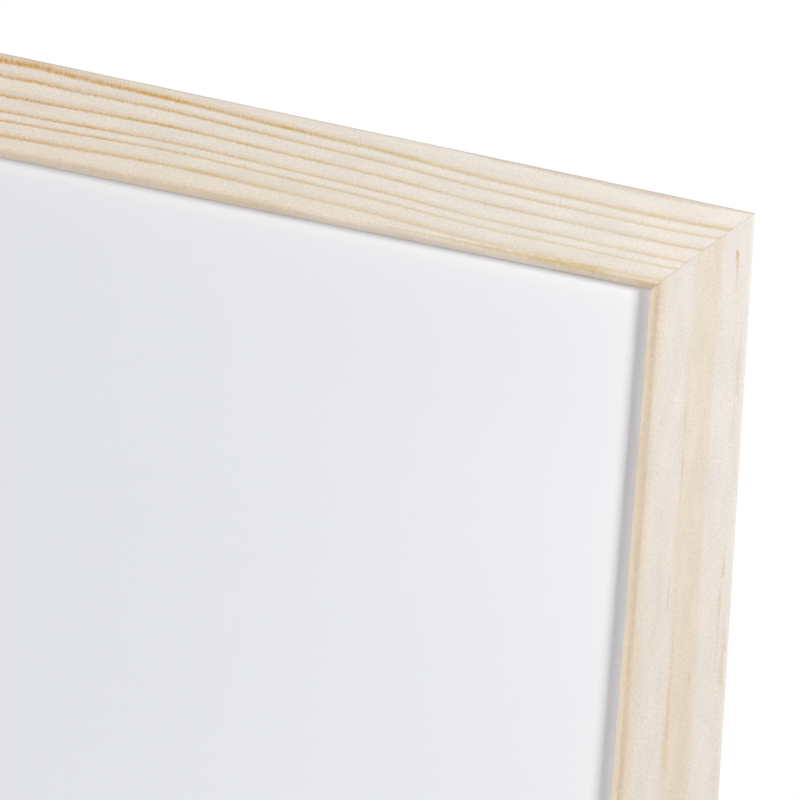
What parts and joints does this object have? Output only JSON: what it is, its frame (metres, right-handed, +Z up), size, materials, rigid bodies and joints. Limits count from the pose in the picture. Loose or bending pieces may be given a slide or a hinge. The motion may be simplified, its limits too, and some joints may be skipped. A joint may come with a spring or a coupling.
{
  "type": "whiteboard",
  "caption": "Landscape dry-wipe whiteboard in a mitred pine frame: white lacquered steel sheet on a fibreboard core, hung on a wall by a sawtooth hanger.",
  "frame": {"origin": "the root of the middle notch of the top hanger, at the wall: the point where a wall nail carries the board", "axes": "+X to the viewer's right along the board, +Y from the viewer into the wall, +Z up; the writing surface faces -Y and the wall is the plane Y = 0"},
  "size_m": [0.6, 0.0164, 0.4],
  "materials": {
    "pine": "bare sanded pine, matt",
    "white_lacquer": "white lacquered steel, semi-gloss",
    "fibreboard": "medium-density fibreboard, sawn edges",
    "grey_card": "grey recycled card, matt",
    "nail_steel": "bright rolled steel",
    "tab_steel": "dark rolled spring steel",
    "zinc_plate": "zinc-plated stamped steel",
    "grey_rubber": "soft moulded rubber, matt"
  },
  "bodies": {
    "root": {"top_rail": "pine", "right_stile": "pine", "bottom_rail": "pine", "left_stile": "pine", "writing_sheet": "white_lacquer", "core_board": "fibreboard", "backing_sheet": "grey_card", "v_nail_top_right_outer": "nail_steel", "v_nail_top_right_inner": "nail_steel", "v_nail_bottom_right_outer": "nail_steel", "v_nail_bottom_right_inner": "nail_steel", "v_nail_bottom_left_outer": "nail_steel", "v_nail_bottom_left_inner": "nail_steel", "v_nail_top_left_outer": "nail_steel", "v_nail_top_left_inner": "nail_steel", "panel_tab_top_left": "tab_steel", "panel_tab_top_middle": "tab_steel", "panel_tab_top_right": "tab_steel", "panel_tab_bottom_left": "tab_steel", "panel_tab_bottom_middle": "tab_steel", "panel_tab_bottom_right": "tab_steel", "panel_tab_left_upper": "tab_steel", "panel_tab_left_lower": "tab_steel", "panel_tab_right_upper": "tab_steel", "panel_tab_right_lower": "tab_steel", "hanger_top": "zinc_plate", "hanger_side": "zinc_plate", "hanger_top_nail_left": "zinc_plate", "hanger_top_nail_right": "zinc_plate", "hanger_side_nail_upper": "zinc_plate", "hanger_side_nail_lower": "zinc_plate", "wall_bumper_top_left": "grey_rubber", "wall_bumper_top_right": "grey_rubber", "wall_bumper_bottom_left": "grey_rubber", "wall_bumper_bottom_right": "grey_rubber"}
  },
  "joints": []
}
